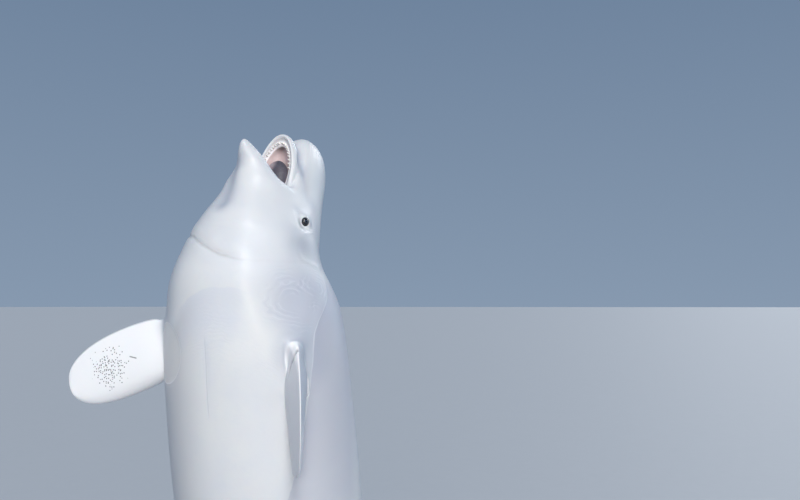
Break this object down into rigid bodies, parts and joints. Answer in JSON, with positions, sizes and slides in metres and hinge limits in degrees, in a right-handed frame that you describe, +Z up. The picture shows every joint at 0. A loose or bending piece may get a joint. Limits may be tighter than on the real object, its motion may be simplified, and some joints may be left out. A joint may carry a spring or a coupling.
{
  "type": "beluga whale",
  "caption": "Life-size adult beluga whale model, upright with its head thrown back and its mouth open, on a plain rod stand.",
  "frame": {"origin": "middle of the underside of the stand's base", "axes": "+Z up towards the whale's nose, -Y towards its belly side, +X towards its left flank"},
  "size_m": [1.7, 1.9, 4.2036],
  "materials": {
    "skin": "smooth, wet, white with a pale violet and blue-grey shade",
    "mouth": "wet, dusky mauve",
    "eye": "polished, near black",
    "stand_paint": "satin, dark grey",
    "stand_steel": "brushed"
  },
  "bodies": {
    "root": {"head": "skin", "lower_jaw": "skin", "neck": "skin", "chest": "skin", "belly": "skin", "tail_stock": "skin", "left_flipper": "skin", "right_flipper": "skin", "left_fluke": "skin", "right_fluke": "skin", "tongue": "mouth", "left_eye": "eye", "right_eye": "eye", "stand_base": "stand_paint", "stand_rod_front": "stand_steel", "stand_rod_rear": "stand_steel"}
  },
  "joints": []
}
